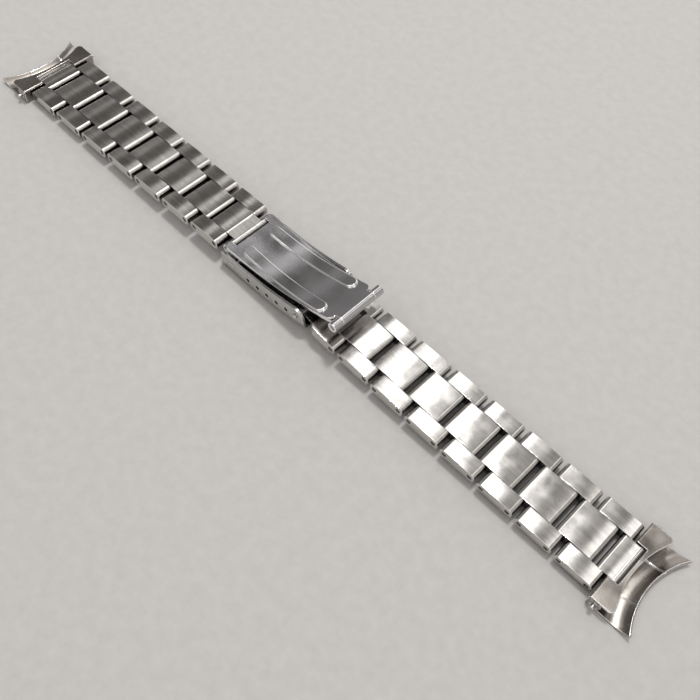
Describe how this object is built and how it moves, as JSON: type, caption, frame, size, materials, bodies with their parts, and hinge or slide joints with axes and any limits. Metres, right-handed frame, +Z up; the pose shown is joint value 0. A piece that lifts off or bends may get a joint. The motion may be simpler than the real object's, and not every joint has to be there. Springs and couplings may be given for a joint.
{
  "type": "link watch bracelet",
  "caption": "Steel link watch bracelet with a folding clasp, interleaved centre and side links, and hollow curved end links on spring bars.",
  "frame": {"origin": "under the middle of the whole bracelet, on the surface it lies on, clasp closed", "axes": "+X along the bracelet from the blade side's end link to the cover side's end link, +Z up out of the side that faces the wrist"},
  "size_m": [0.1882, 0.0218, 0.0115],
  "materials": {
    "links": "brushed lengthwise",
    "cover": "fine brushed",
    "clasp": "polished, lightly worn",
    "end_links": "satin, stamped",
    "pins": "turned"
  },
  "bodies": {
    "cover": {"clasp_cover": "cover", "cover_hinge_pin": "pins", "clasp_spring_bar": "pins"},
    "lower_blade": {"lower_blade": "clasp", "middle_hinge_pin": "pins"},
    "upper_blade": {"upper_blade": "clasp", "knuckle_pin": "pins"},
    "knuckle_link": {"knuckle_link": "links"},
    "end_piece": {"end_piece": "clasp", "end_piece_pin": "pins"},
    "side_a1": {"side_links_a1": "links", "link_pins_a1": "pins"},
    "centre_a2": {"centre_link_a2": "links"},
    "side_a2": {"side_links_a2": "links", "link_pins_a2": "pins"},
    "centre_a3": {"centre_link_a3": "links"},
    "side_a3": {"side_links_a3": "links", "link_pins_a3": "pins"},
    "centre_a4": {"centre_link_a4": "links"},
    "side_a4": {"side_links_a4": "links", "link_pins_a4": "pins"},
    "centre_a5": {"centre_link_a5": "links"},
    "side_a5": {"side_links_a5": "links", "link_pins_a5": "pins"},
    "centre_a6": {"centre_link_a6": "links"},
    "side_a6": {"side_links_a6": "links", "link_pins_a6": "pins"},
    "centre_a7": {"centre_link_a7": "links"},
    "side_a7": {"side_links_a7": "links", "link_pins_a7": "pins"},
    "tongue_a": {"tongue_a": "links"},
    "end_a": {"end_link_a": "end_links", "spring_bar_a": "pins"},
    "centre_b1": {"centre_link_b1": "links"},
    "side_b1": {"side_links_b1": "links", "link_pins_b1": "pins"},
    "centre_b2": {"centre_link_b2": "links"},
    "side_b2": {"side_links_b2": "links", "link_pins_b2": "pins"},
    "centre_b3": {"centre_link_b3": "links"},
    "side_b3": {"side_links_b3": "links", "link_pins_b3": "pins"},
    "centre_b4": {"centre_link_b4": "links"},
    "side_b4": {"side_links_b4": "links", "link_pins_b4": "pins"},
    "centre_b5": {"centre_link_b5": "links"},
    "side_b5": {"side_links_b5": "links", "link_pins_b5": "pins"},
    "centre_b6": {"centre_link_b6": "links"},
    "side_b6": {"side_links_b6": "links", "link_pins_b6": "pins"},
    "centre_b7": {"centre_link_b7": "links"},
    "side_b7": {"side_links_b7": "links", "link_pins_b7": "pins"},
    "tongue_b": {"tongue_b": "links"},
    "end_b": {"end_link_b": "end_links", "spring_bar_b": "pins"}
  },
  "joints": [
    {"name": "lower_blade_hinge", "type": "hinge", "parent": "cover", "child": "lower_blade", "pos_m": [-0.01368, 0, 0.0024], "axis": [0, -1, 0], "range_deg": [0, 150]},
    {"name": "middle_hinge", "type": "hinge", "parent": "lower_blade", "child": "upper_blade", "pos_m": [0.01585, 0, 0.01039], "axis": [0, -1, 0], "range_deg": [-150, 0]},
    {"name": "knuckle_hinge", "type": "hinge", "parent": "upper_blade", "child": "knuckle_link", "pos_m": [-0.01628, 0, 0.00465], "axis": [0, 1, 0], "range_deg": [-5, 15]},
    {"name": "clasp_bar_hinge", "type": "hinge", "parent": "cover", "child": "end_piece", "pos_m": [0.00631, 0, 0.00491], "axis": [0, -1, 0], "range_deg": [0, 15]},
    {"name": "link_hinge_a1", "type": "hinge", "parent": "knuckle_link", "child": "side_a1", "pos_m": [-0.01932, 0, 0.00453], "axis": [0, 1, 0], "range_deg": [-5, 15]},
    {"name": "link_hinge_a2", "type": "hinge", "parent": "side_a1", "child": "centre_a2", "pos_m": [-0.02577, 0, 0.00427], "axis": [0, 1, 0], "range_deg": [-5, 15]},
    {"name": "link_hinge_a3", "type": "hinge", "parent": "centre_a2", "child": "side_a2", "pos_m": [-0.02881, 0, 0.00415], "axis": [0, 1, 0], "range_deg": [-5, 15]},
    {"name": "link_hinge_a4", "type": "hinge", "parent": "side_a2", "child": "centre_a3", "pos_m": [-0.03527, 0, 0.0039], "axis": [0, 1, 0], "range_deg": [-5, 15]},
    {"name": "link_hinge_a5", "type": "hinge", "parent": "centre_a3", "child": "side_a3", "pos_m": [-0.0383, 0, 0.00378], "axis": [0, 1, 0], "range_deg": [-5, 15]},
    {"name": "link_hinge_a6", "type": "hinge", "parent": "side_a3", "child": "centre_a4", "pos_m": [-0.04476, 0, 0.00352], "axis": [0, 1, 0], "range_deg": [-5, 15]},
    {"name": "link_hinge_a7", "type": "hinge", "parent": "centre_a4", "child": "side_a4", "pos_m": [-0.0478, 0, 0.0034], "axis": [0, 1, 0], "range_deg": [-5, 15]},
    {"name": "link_hinge_a8", "type": "hinge", "parent": "side_a4", "child": "centre_a5", "pos_m": [-0.05425, 0, 0.00315], "axis": [0, 1, 0], "range_deg": [-5, 15]},
    {"name": "link_hinge_a9", "type": "hinge", "parent": "centre_a5", "child": "side_a5", "pos_m": [-0.05729, 0, 0.00303], "axis": [0, 1, 0], "range_deg": [-5, 15]},
    {"name": "link_hinge_a10", "type": "hinge", "parent": "side_a5", "child": "centre_a6", "pos_m": [-0.06374, 0, 0.00277], "axis": [0, 1, 0], "range_deg": [-5, 15]},
    {"name": "link_hinge_a11", "type": "hinge", "parent": "centre_a6", "child": "side_a6", "pos_m": [-0.06678, 0, 0.00265], "axis": [0, 1, 0], "range_deg": [-5, 15]},
    {"name": "link_hinge_a12", "type": "hinge", "parent": "side_a6", "child": "centre_a7", "pos_m": [-0.07324, 0, 0.0024], "axis": [0, 1, 0], "range_deg": [-5, 15]},
    {"name": "link_hinge_a13", "type": "hinge", "parent": "centre_a7", "child": "side_a7", "pos_m": [-0.07627, 0, 0.00228], "axis": [0, 1, 0], "range_deg": [-5, 15]},
    {"name": "tongue_hinge_a", "type": "hinge", "parent": "side_a7", "child": "tongue_a", "pos_m": [-0.08273, 0, 0.00202], "axis": [0, 1, 0], "range_deg": [-5, 15]},
    {"name": "end_link_hinge_a", "type": "hinge", "parent": "tongue_a", "child": "end_a", "pos_m": [-0.08577, 0, 0.0019], "axis": [0, 1, 0], "range_deg": [-5, 15]},
    {"name": "link_hinge_b0", "type": "hinge", "parent": "end_piece", "child": "centre_b1", "pos_m": [0.01624, 0, 0.0034], "axis": [0, -1, 0], "range_deg": [-5, 15]},
    {"name": "link_hinge_b1", "type": "hinge", "parent": "centre_b1", "child": "side_b1", "pos_m": [0.01928, 0, 0.00333], "axis": [0, -1, 0], "range_deg": [-5, 15]},
    {"name": "link_hinge_b2", "type": "hinge", "parent": "side_b1", "child": "centre_b2", "pos_m": [0.02574, 0, 0.0032], "axis": [0, -1, 0], "range_deg": [-5, 15]},
    {"name": "link_hinge_b3", "type": "hinge", "parent": "centre_b2", "child": "side_b2", "pos_m": [0.02878, 0, 0.00313], "axis": [0, -1, 0], "range_deg": [-5, 15]},
    {"name": "link_hinge_b4", "type": "hinge", "parent": "side_b2", "child": "centre_b3", "pos_m": [0.03524, 0, 0.00299], "axis": [0, -1, 0], "range_deg": [-5, 15]},
    {"name": "link_hinge_b5", "type": "hinge", "parent": "centre_b3", "child": "side_b3", "pos_m": [0.03828, 0, 0.00292], "axis": [0, -1, 0], "range_deg": [-5, 15]},
    {"name": "link_hinge_b6", "type": "hinge", "parent": "side_b3", "child": "centre_b4", "pos_m": [0.04474, 0, 0.00279], "axis": [0, -1, 0], "range_deg": [-5, 15]},
    {"name": "link_hinge_b7", "type": "hinge", "parent": "centre_b4", "child": "side_b4", "pos_m": [0.04778, 0, 0.00272], "axis": [0, -1, 0], "range_deg": [-5, 15]},
    {"name": "link_hinge_b8", "type": "hinge", "parent": "side_b4", "child": "centre_b5", "pos_m": [0.05423, 0, 0.00258], "axis": [0, -1, 0], "range_deg": [-5, 15]},
    {"name": "link_hinge_b9", "type": "hinge", "parent": "centre_b5", "child": "side_b5", "pos_m": [0.05727, 0, 0.00251], "axis": [0, -1, 0], "range_deg": [-5, 15]},
    {"name": "link_hinge_b10", "type": "hinge", "parent": "side_b5", "child": "centre_b6", "pos_m": [0.06373, 0, 0.00238], "axis": [0, -1, 0], "range_deg": [-5, 15]},
    {"name": "link_hinge_b11", "type": "hinge", "parent": "centre_b6", "child": "side_b6", "pos_m": [0.06677, 0, 0.00231], "axis": [0, -1, 0], "range_deg": [-5, 15]},
    {"name": "link_hinge_b12", "type": "hinge", "parent": "side_b6", "child": "centre_b7", "pos_m": [0.07323, 0, 0.00217], "axis": [0, -1, 0], "range_deg": [-5, 15]},
    {"name": "link_hinge_b13", "type": "hinge", "parent": "centre_b7", "child": "side_b7", "pos_m": [0.07627, 0, 0.0021], "axis": [0, -1, 0], "range_deg": [-5, 15]},
    {"name": "tongue_hinge_b", "type": "hinge", "parent": "side_b7", "child": "tongue_b", "pos_m": [0.08273, 0, 0.00197], "axis": [0, -1, 0], "range_deg": [-5, 15]},
    {"name": "end_link_hinge_b", "type": "hinge", "parent": "tongue_b", "child": "end_b", "pos_m": [0.08577, 0, 0.0019], "axis": [0, -1, 0], "range_deg": [-5, 15]}
  ],
  "couplings": [
    {"joint": "middle_hinge", "follows": "lower_blade_hinge", "ratio": -1}
  ]
}
